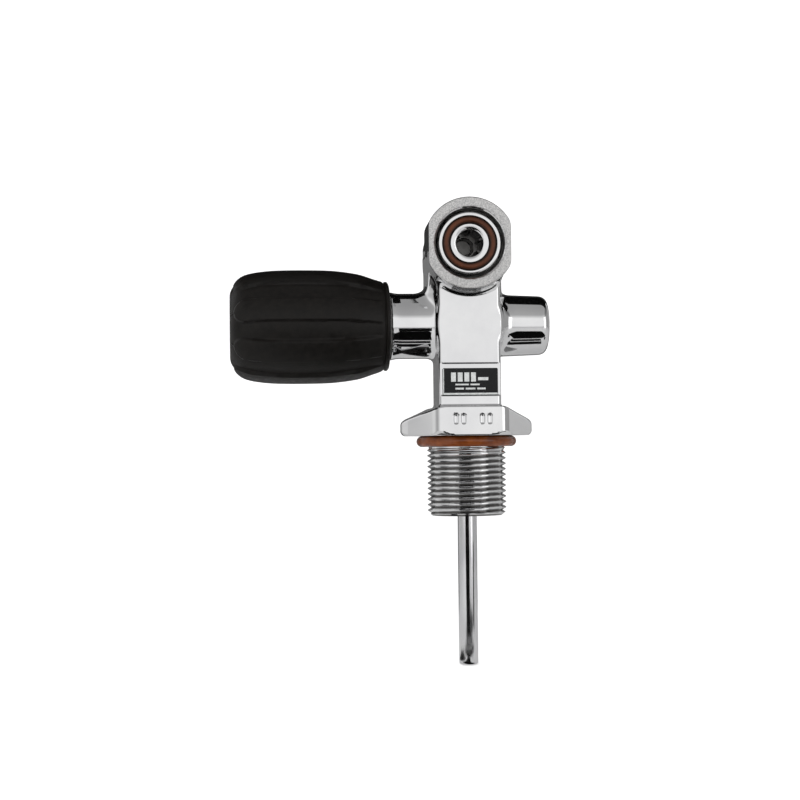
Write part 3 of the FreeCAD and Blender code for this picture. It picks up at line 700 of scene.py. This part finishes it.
def field_mesh(field, low, high, step):
    """Surface nets over field, with every point then drawn onto the surface."""
    axes = [np.arange(low[i], high[i] + step, step, dtype=np.float32) for i in range(3)]
    values = sample_field(field, axes)
    inside = values < 0
    nx, ny, nz = inside.shape
    count = np.zeros((nx - 1, ny - 1, nz - 1), np.int8)
    for dx in (0, 1):
        for dy in (0, 1):
            for dz in (0, 1):
                count += inside[dx:nx - 1 + dx, dy:ny - 1 + dy, dz:nz - 1 + dz]
    active = (count > 0) & (count < 8)
    ids = np.full(active.shape, -1, np.int64)
    ids[active] = np.arange(int(active.sum()))
    start = cell_points(values, np.nonzero(active))
    start = start * step + np.array([a[0] for a in axes])
    points = start.copy()
    for _ in range(3):
        value = field(points[:, 0], points[:, 1], points[:, 2])
        slopes = gradient(field, points, reach=0.01)
        move = (value / np.maximum((slopes * slopes).sum(1), 0.2))[:, None] * slopes
        points = points - limited(move, 0.3 * step)
    points = start + limited(points - start, 0.8 * step)
    slopes = gradient(field, points, reach=0.05)
    normals = slopes / np.maximum(np.linalg.norm(slopes, axis=1, keepdims=True), 1e-9)
    return points, cell_quads(inside, ids), normals


def valve_body():
    points, quads, normals = field_mesh(body_field, low=(-26.6, -20.2, -1.0),
                                        high=(28.7, 20.2, 79.4),
                                        step=0.4)
    mesh_object("valve_body_shell", points, quads.tolist(), "body", "valve", "chromed_brass",
                ("valve_body",), normals=normals)


valve_body()

# ============================================================ neck and tube
NECK_END, NECK_TOP, NECK_RELIEF_R = -26.5, -3.7, 12.6
NECK_BORE_R, TUBE_BORE_R, TUBE_BORE_TOP = 2.62, 3.21, -12.95
TUBE_R, TUBE_INNER_R, TUBE_END = 3.19, 2.2, -76.0


def neck_shape(radius, along):
    depth = -along
    run_out = NECK_RELIEF_R - 0.65 * rise(depth, 4.4, 1.2)
    radius = np.where(along > -5.6, np.maximum(radius, run_out), radius)
    radius = np.minimum(radius, NECK_RELIEF_R + rise(depth, 3.75, 0.5) * 0.6)
    chamfer = NECK_MAJOR - rise(depth, 25.2, 1.3) * 1.6
    radius = np.minimum(radius, chamfer)
    return np.where(along > -3.78, NECK_RELIEF_R, radius)


threaded("valve_neck_thread", "Z", NECK_CENTRE, NECK_END, NECK_TOP, NECK_MAJOR, NECK_MINOR,
         neck_shape,
         [(0.8, NECK_RELIEF_R), (0.8, NECK_BORE_R), (TUBE_BORE_TOP, NECK_BORE_R),
          (TUBE_BORE_TOP, TUBE_BORE_R), (-26.0, TUBE_BORE_R), (NECK_END, 3.7)],
         material="thread", part="valve", slot="chromed_brass", replaces=("valve_body",))
# (z, radius) down the outside, round the lip and back up the bore
turned("dip_tube_shell", "Z",
       [(-13.05, TUBE_INNER_R), (-13.05, TUBE_R), (-75.3, TUBE_R), (-75.55, TUBE_R),
        (-75.85, 3.08), (TUBE_END, 2.85), (TUBE_END, 2.35), (-75.8, TUBE_INNER_R),
        (-75.5, TUBE_INNER_R)],
       NECK_CENTRE, segments=96, angle=30, material="tube", part="valve", slot="chromed_tube",
       replaces=("dip_tube",))
torus("neck_seal_ring", "Z", mid_radius=14.85, tube_radius=1.8, along=-1.82, centre=NECK_CENTRE,
      material="neck_seal", part="valve", slot="neck_seal", replaces=("neck_o_ring",))

# ============================================================ outlet insert
INSERT_MAJOR, INSERT_NOSE_R, INSERT_COLLAR_R = 11.42, 10.2, 10.75
INSERT_THREAD_START, INSERT_THREAD_END = INSERT_FRONT + 1.8, -4.9
SOCKET_THREAD_R, SOCKET_THREAD_OUTER_R, SOCKET_THREAD_END = 11.47, 11.8, -5.2
SOCKET_THREAD_START = INSERT_THREAD_START - THREAD_PITCH


def insert_shape(radius, along):
    lead_in = INSERT_NOSE_R + rise(along - INSERT_FRONT, 1.9, 0.9) * 1.4
    limit = np.minimum(lead_in, INSERT_COLLAR_R + rise(-along, -INSERT_THREAD_END, 0.9) * 1.0)
    radius = np.minimum(radius, np.minimum(limit, INSERT_MAJOR))
    return np.where(along > -4.95, INSERT_COLLAR_R, radius)


def toothed(depth):
    """Key hole outline with six teeth that point inwards."""
    def outline(theta):
        turn = ((theta + 0.35) * 6 / (2 * np.pi)) % 1.0
        tooth = np.clip((0.13 - np.abs(turn - 0.5)) / 0.05, 0, 1)
        return KEY_HOLE_R - depth * tooth
    return outline


def gland_radii(middle, half):
    return middle - half, middle + half


def outlet_insert():
    """Helical thread, plain collar, two glands and a toothed key hole."""
    front, rear = INSERT_FRONT, INSERT_REAR
    face_in, face_out = gland_radii(FACE_SEAL_R, FACE_GLAND_HALF)
    rear_in, rear_out = gland_radii(REAR_SEAL_R, REAR_GLAND_HALF)
    profile = [                                        # (y, radius)
        (-4.6, 10.8), (rear - 0.5, 10.8), (rear, 10.3), (rear, rear_out),
        (rear - 1.4, rear_out), (rear - 1.4, rear_in), (rear, rear_in),
        (rear, KEY_HOLE_R + 0.3), (rear - 0.3, KEY_HOLE_R), (rear - 1.6, KEY_HOLE_R),
        (rear - 1.9, toothed(0.9)), (-13.6, toothed(0.9)), (-13.9, toothed(0.0)),
        (-14.9, KEY_HOLE_R), (front + 0.30, KEY_HOLE_R + 0.06), (front, KEY_HOLE_R + 0.5),
        (front, face_in - 0.12), (front + 0.12, face_in), (front + 2.1, face_in),
        (front + 2.1, face_out), (front + 0.12, face_out), (front, face_out + 0.12),
        (front, 9.95), (front + 0.08, 10.12), (front + 0.25, INSERT_NOSE_R),
        (front + 0.5, INSERT_NOSE_R), (front + 1.6, INSERT_NOSE_R)]
    threaded("outlet_insert_shell", "Y", HEAD_CENTRE, INSERT_THREAD_START, INSERT_THREAD_END,
             INSERT_MAJOR, 10.3, insert_shape, profile, segments=144, material="insert",
             part="insert", slot="chromed_brass", replaces=("outlet_insert",))


def socket_shape(radius, along):
    fade = rise(along, SOCKET_THREAD_START, 1.0) * rise(-along, -SOCKET_THREAD_END, 1.0)
    return SOCKET_THREAD_R - (SOCKET_THREAD_R - radius) * fade


outlet_insert()
# same helix as the insert, so its ridges sit in the insert's roots
threaded("socket_thread", "Y", HEAD_CENTRE, SOCKET_THREAD_START, SOCKET_THREAD_END,
         SOCKET_THREAD_R, 10.95, socket_shape,
         [(SOCKET_THREAD_END, SOCKET_THREAD_OUTER_R),
          (SOCKET_THREAD_START, SOCKET_THREAD_OUTER_R)],
         segments=144, crest=0.26, root=0.25, material="body", part="valve",
         slot="chromed_brass", replaces=("valve_body",))
torus("insert_face_seal", "Y", mid_radius=FACE_SEAL_R, tube_radius=1.3,
      along=INSERT_FRONT + 0.72, centre=HEAD_CENTRE, material="face_seal", part="insert_seals",
      slot="face_seal", replaces=("insert_face_o_ring",))
torus("insert_rear_seal", "Y", mid_radius=REAR_SEAL_R, tube_radius=0.93,
      along=INSERT_REAR - 0.65, centre=HEAD_CENTRE, material="black_seal", part="insert_seals",
      slot="inner_seal", replaces=("insert_rear_o_ring",))

# ============================================================== rubber grip
# (x, radius between the lobes), from the valve side to the outer end
GRIP_STATIONS = np.array([
    (-26.0, 14.3), (-26.5, 14.85), (-27.1, 14.85), (-27.4, 14.45), (-27.7, 14.6),
    (-28.2, 14.98), (-31.0, 15.5), (-34.0, 16.15), (-38.0, 16.9), (-42.0, 17.45),
    (-46.0, 17.78), (-50.0, 17.9), (-56.0, 17.95), (-62.0, 17.85), (-66.0, 17.6),
    (-70.0, 17.1), (-72.5, 16.55), (-74.5, 15.75), (-76.0, 14.7), (-77.0, 13.7),
    (-77.8, 12.5), (-78.25, 11.4), (-78.4, 10.6)])
GRIP_LOBES = 8
LOBE_TURN = math.radians(180 - 15.6)    # where the first lobe sits
LOBE_HALF, LOBE_HEIGHT, LOBE_EDGE = 3.75, 1.15, 0.34
LOBE_START, LOBE_ROUNDING_X, LOBE_ROUNDING = -28.2, -73.2, 4.0


def grip_base_radius(x):
    """Monotone cubic through the stations."""
    xs, ys = -GRIP_STATIONS[:, 0], GRIP_STATIONS[:, 1]
    gaps = np.diff(xs)
    chords = np.diff(ys) / gaps
    before, after = chords[:-1], chords[1:]
    slopes = np.zeros(len(xs))
    slopes[1:-1] = np.where(before * after > 0,
                            2 * before * after / (before + after + 1e-12), 0)
    slopes[0], slopes[-1] = chords[0], chords[-1]
    i = int(np.clip(np.searchsorted(xs, -x) - 1, 0, len(xs) - 2))
    t = (-x - xs[i]) / gaps[i]
    return float((2 * t**3 - 3 * t**2 + 1) * ys[i]
                 + (t**3 - 2 * t**2 + t) * gaps[i] * slopes[i]
                 + (-2 * t**3 + 3 * t**2) * ys[i + 1]
                 + (t**3 - t**2) * gaps[i] * slopes[i + 1])


def grip_outline(x):
    """Outline across the grip at x, as a function of the angle."""
    base = grip_base_radius(x)
    growth = float(rise(-x, -LOBE_START, 7.5)) ** 0.75
    half = LOBE_HALF
    if x < LOBE_ROUNDING_X:
        half *= math.sqrt(max(0.0, 1.0 - ((LOBE_ROUNDING_X - x) / LOBE_ROUNDING) ** 2))

    def outline(theta):
        spacing = 2 * math.pi / GRIP_LOBES
        turn = (theta - LOBE_TURN + spacing / 2) % spacing - spacing / 2
        edge = (half - np.abs(turn) * base) / LOBE_EDGE
        lobe = smooth_step(np.clip(edge * 0.5 + 0.5, 0, 1))
        return base + LOBE_HEIGHT * growth * lobe
    return outline


def grip_sleeve():
    xs = np.concatenate([np.linspace(-26.0, -28.2, 23), np.linspace(-28.7, -72.0, 64),
                         np.linspace(-72.3, -77.6, 36), np.linspace(-77.75, -78.4, 6)])
    profile = [(x, grip_outline(x)) for x in xs]
    # (x, radius) of the inside, from the outer end back to the valve side
    profile += [(-78.35, 10.0), (-78.0, 9.6), (-77.6, 9.5), (-76.52, 9.5), (-76.52, 13.2),
                (-27.2, 13.2), (-27.2, 12.1), (-26.15, 12.05), (-26.0, 12.3)]
    turned("grip_sleeve", "X", profile, STEM_CENTRE, segments=320, angle=50, material="grip",
           part="handwheel", slot="grip_rubber", replaces=("handwheel_grip",))


grip_sleeve()

# ============================================================== coil spring
SPRING_NEAR, SPRING_FAR, SPRING_GAP = -60.8, -68.5, 0.03
SPRING_R, SPRING_WIRE_R, SPRING_TURNS = 5.7, 0.5, 5.0
CLOSED_TURNS, CLOSED_LENGTH = 0.13, 0.11      # shares of the coil closed up at each end


def coil_spring():
    near = SPRING_NEAR - SPRING_WIRE_R - SPRING_GAP
    far = SPRING_FAR + SPRING_WIRE_R + SPRING_GAP
    steps, sides = 260, 14
    share = np.linspace(0, 1, steps)
    angles = share * SPRING_TURNS * 2 * np.pi
    xs = near + (far - near) * (
        CLOSED_LENGTH * rise(share, 0, CLOSED_TURNS)
        + (1 - 2 * CLOSED_LENGTH) * rise(share, CLOSED_TURNS, 1 - 2 * CLOSED_TURNS)
        + CLOSED_LENGTH * rise(share, 1 - CLOSED_TURNS, CLOSED_TURNS))
    verts = []
    for x, angle in zip(xs, angles):
        outward = np.array([0, math.cos(angle), math.sin(angle)])
        centre = np.array([x, 0, STEM_Z]) + outward * SPRING_R
        for side in range(sides):
            turn = 2 * math.pi * side / sides
            verts.append(centre + SPRING_WIRE_R * (math.cos(turn) * outward
                                                   + math.sin(turn) * np.array([1.0, 0, 0])))
    faces = grid_faces(steps, sides)
    faces.append(tuple(range(sides))[::-1])
    faces.append(tuple((steps - 1) * sides + side for side in range(sides)))
    spring = mesh_object("coil_spring", verts, fix_outward(verts, faces), "steel", "stem",
                         "stainless", ("handwheel_spring",), angle=40)
    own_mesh(spring)


coil_spring()

# ============================================================= rating plate
PLATE_LOW, PLATE_HIGH = [[c / MM for c in corner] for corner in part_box("rating_plate")]


def rating_plate(bevel=0.12, corner_radius=0.5):
    """Plate with rounded corners in XZ, bevelled towards -Y."""
    (x0, y0, z0), (x1, y1, z1) = PLATE_LOW, PLATE_HIGH
    corners = ((x1, z1, 1, 1), (x0, z1, -1, 1), (x0, z0, -1, -1), (x1, z0, 1, -1))
    verts = []
    for inset, y in ((0, y1), (0, y0 + bevel), (bevel, y0)):
        shrink = inset + corner_radius
        for quarter, (x, z, side_x, side_z) in enumerate(corners):
            for k in range(6):
                angle = math.radians(90 * quarter + 18 * k)
                verts.append((x - side_x * shrink + corner_radius * math.cos(angle), y,
                              z - side_z * shrink + corner_radius * math.sin(angle)))
    count = len(verts) // 3
    faces = grid_faces(3, count)
    faces.append(tuple(range(count))[::-1])
    faces.append(tuple(2 * count + i for i in range(count)))
    mesh_object("rating_plate_shell", verts, fix_outward(verts, faces), "plate", "valve",
                "plate_print", ("rating_plate",), angle=25)


BOX_FACES = [(0, 1, 3, 2), (4, 6, 7, 5), (0, 4, 5, 1), (2, 3, 7, 6), (0, 2, 6, 4), (1, 5, 7, 3)]


def plate_print():
    """Pale lines along the bottom and left edges as painted highlights, and plain bars where a
    plate would carry print.
    """
    x0, face, z0 = PLATE_LOW
    x1, _, z1 = PLATE_HIGH
    bars = [                                           # x from, z from, x to, z to
        # the first two bars are the painted highlights along the bottom and left edges
        (x0 + 0.15, z0 + 0.15, x1 - 0.15, z0 + 0.75), (x0 + 0.15, z0 + 0.75, x0 + 0.45, z1 - 0.2),
        (-6.4, 17.7, -4.8, 20.7), (-4.2, 17.7, -2.6, 20.7), (-2.0, 17.7, -0.4, 20.7),
        (0.2, 17.7, 1.8, 20.7), (2.5, 18.1, 5.9, 19.1),
        (-5.0, 16.5, -0.6, 17.0), (0.0, 16.5, 3.0, 17.0),
        (-5.0, 15.1, -2.2, 15.7), (-1.6, 15.1, 1.6, 15.7), (2.2, 15.1, 5.0, 15.7)]
    verts, faces = [], []
    for left, bottom, right, top in bars:
        box = [(x, y, z) for x in (left, right) for y in (face - 0.03, face + 0.02)
               for z in (bottom, top)]
        faces += shifted(fix_outward(box, BOX_FACES), len(verts))
        verts += box
    mesh_object("rating_plate_print", verts, faces, "plate_print", "valve", "plate_print",
                angle=25)


rating_plate()
plate_print()

# CAD nodes kept as they are, with the material each one gets
KEPT_NODES = {
    "bonnet_nut": "chrome", "bonnet_gasket": "ptfe", "stem_thrust_washer": "ptfe",
    "burst_plug": "chrome", "burst_disc": "copper", "burst_gasket": "ptfe",
    "upper_stem": "brass", "stem_o_ring": "black_seal", "handwheel_nut": "steel",
    "handwheel_core": "core", "handwheel_washer": "ptfe", "seat_carrier": "brass",
    "seat_disc": "nylon",
}
for node_name, material_key in KEPT_NODES.items():
    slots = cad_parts[node_name].data.materials
    slots.clear()
    slots.append(MATERIALS[material_key])

# ===================================================================== stage
FLOOR_Z, FLOOR_HALF_WIDTH, FLOOR_FRONT, WALL_TOP = -76.4, 1800.0, -900.0, 1800.0
SWEEP_START, SWEEP_R, SWEEP_STEPS = 700.0, 500.0, 12
CARD_Z = -75.9                          # cards lying just above the floor


def floor():
    """Pale floor that sweeps up into a back wall."""
    profile = [(FLOOR_FRONT, FLOOR_Z), (SWEEP_START, FLOOR_Z)]
    for k in range(SWEEP_STEPS + 1):
        angle = math.radians(90 * k / SWEEP_STEPS)
        profile.append((SWEEP_START + SWEEP_R * math.sin(angle),
                        FLOOR_Z + SWEEP_R * (1 - math.cos(angle))))
    profile.append((SWEEP_START + SWEEP_R, WALL_TOP))
    verts = [(x, y, z) for y, z in profile for x in (-FLOOR_HALF_WIDTH, FLOOR_HALF_WIDTH)]
    mesh = bpy.data.meshes.new("floor")
    mesh.from_pydata(np.array(verts) * MM, [], grid_faces(len(profile), 2, join_cols=False))
    mesh.shade_smooth()
    nodes = material_nodes("floor_paper")
    mottle = nodes.ramp(nodes.noise(scale=6.0), (0.3, 0.0), (0.7, 1.0))
    nodes.set("Base Color", nodes.mix(mottle, off=(0.93, 0.93, 0.93), on=(0.96, 0.96, 0.96)))
    nodes.set("Roughness", 0.9)
    nodes.set("Specular IOR Level", 0.0)
    # a glow that only the camera sees
    seen = nodes.add("LightPath").outputs["Is Camera Ray"]
    nodes.set("Emission Color", (1, 1, 1))
    nodes.set("Emission Strength", nodes.math("MULTIPLY", seen, 0.55))
    mesh.materials.append(nodes.owner)
    link_object("floor", mesh)


def aim(obj, place, target, axis):
    """Puts obj at place with its given axis towards target."""
    obj.location = Vector(place) * MM
    way = Vector(target) * MM - obj.location
    obj.rotation_euler = way.to_track_quat(axis, "Y").to_euler()


def area_light(name, place, size, power, glossy=True):
    light = bpy.data.lights.new(name, "AREA")
    light.shape = "RECTANGLE"
    light.size, light.size_y = size[0] * MM, size[1] * MM
    light.energy = power
    obj = link_object(name, light)
    aim(obj, place, (0, 0, 20), "-Z")
    obj.visible_glossy = glossy


def dark_card(name, place, target, size, level=0.004, front_edge=None):
    """A dark board that only reflections see. front_edge: x range of its -Y edge."""
    mesh = bpy.data.meshes.new(name)
    w, h = size[0] / 2 * MM, size[1] / 2 * MM
    left, right = [(x - place[0]) * MM for x in front_edge] if front_edge else (-w, w)
    mesh.from_pydata([(left, -h, 0), (right, -h, 0), (w, h, 0), (-w, h, 0)], [], [(0, 1, 2, 3)])
    nodes = material_nodes(name + "_paint")
    nodes.set("Base Color", nodes.mix(nodes.noise(scale=8.0, detail=3.0),
                                      (level,) * 3, (level * 1.5,) * 3))
    nodes.set("Roughness", 1.0)
    nodes.set("Specular IOR Level", 0.0)
    mesh.materials.append(nodes.owner)
    obj = link_object(name, mesh)
    aim(obj, place, target, "Z")
    obj.visible_camera = False
    obj.visible_shadow = False
    obj.visible_diffuse = False


floor()
area_light("key", place=(-300, -480, 380), size=(560, 560), power=1.7, glossy=False)
area_light("fill", place=(460, -420, 120), size=(240, 420), power=0.35)
CARDS = [                               # name, place, target, size, other settings
    ("flag_front", (-46, -300, -44.7), (-46, 0, -44.7), (250, 61.6), {}),
    ("flag_near", (-21, -98, -39), (-21, 0, -39), (60, 70), {}),
    ("flag_floor0", (2, -194, CARD_Z), (2, -194, 0), (106, 212), {"front_edge": (-172, 79)}),
    ("flag_foot", (-3, -14, CARD_Z), (-3, -14, 0), (12, 22), {}),
    ("flag_floor1", (5, -69, CARD_Z), (5, -69, 0), (100, 22), {}),
    ("flag_floor2", (5, -39, CARD_Z), (5, -39, 0), (100, 26), {}),
    ("flag_side", (107, -54, -58), (0, 0, -58), (30, 34), {}),
    ("flag_boss", (-30, -2, CARD_Z), (-30, -2, 0), (34, 32), {}),
    ("flag_back", (0, 190, 170), (0, 0, 170), (400, 180), {"level": 0.03}),
    ("flag_back_low", (0, 191, 2), (0, 0, 2), (400, 156), {"level": 0.17}),
    ("flag_top_left", (-106, 125, 205), (-106, 125, 0), (208, 158), {}),
    ("flag_top_right", (104, 93, 205), (104, 93, 0), (212, 222), {}),
]
for *card, settings in CARDS:
    dark_card(*card, **settings)


def studio_world():
    """White to the camera; elsewhere it darkens to both sides, upwards and downwards."""
    world = bpy.data.worlds.new("studio")
    bpy.context.scene.world = world
    nodes = Nodes(world, "OutputWorld", "Background", "Generated")
    x, _, z = nodes.split()

    def from_zero(value):
        """Turns -1..1 into 0..1."""
        return nodes.math("ADD", nodes.math("MULTIPLY", value, 0.5), 0.5)

    sideways = nodes.ramp(from_zero(x), (0.0, 0.45), (0.05, 0.85), (0.10, 1.0), (0.80, 1.0),
                          (0.85, 0.40), (1.0, 0.36))
    upwards = nodes.ramp(from_zero(z), (0.0, 0.8), (0.48, 1.0), (0.70, 1.0), (0.80, 0.46),
                         (1.0, 0.36))
    surroundings = nodes.mix(upwards, off=(0.0, 0.0, 0.0), on=sideways)
    seen = nodes.add("LightPath").outputs["Is Camera Ray"]
    nodes.set("Color", nodes.mix(seen, off=surroundings, on=(1.0, 1.0, 1.0)))
    nodes.set("Strength", 1.0)


studio_world()
scene = bpy.context.scene
scene.view_settings.view_transform = "Standard"
scene.view_settings.look = "None"

# ==================================================================== camera
AZIMUTH, ELEVATION, ROLL = math.radians(-5.277), math.radians(-1.311), math.radians(0.623)
CAMERA_DISTANCE = 665.7
CAMERA_TARGET = Vector((-22.09, 0.0, 12.14))


def camera():
    data = bpy.data.cameras.new("camera")
    obj = link_object("camera", data)
    back = Vector((math.sin(AZIMUTH) * math.cos(ELEVATION),
                   -math.cos(AZIMUTH) * math.cos(ELEVATION), math.sin(ELEVATION)))
    level_right = (-back).cross(Vector((0, 0, 1))).normalized()
    level_up = level_right.cross(-back)
    right = level_right * math.cos(ROLL) - level_up * math.sin(ROLL)
    up = level_up * math.cos(ROLL) + level_right * math.sin(ROLL)
    place = Matrix.Translation((CAMERA_TARGET + back * CAMERA_DISTANCE) * MM)
    obj.matrix_world = place @ Matrix((right, up, back)).transposed().to_4x4()
    data.sensor_width = 36.0
    data.lens = 89.847
    data.clip_start, data.clip_end = 0.01, 20
    scene.camera = obj


camera()
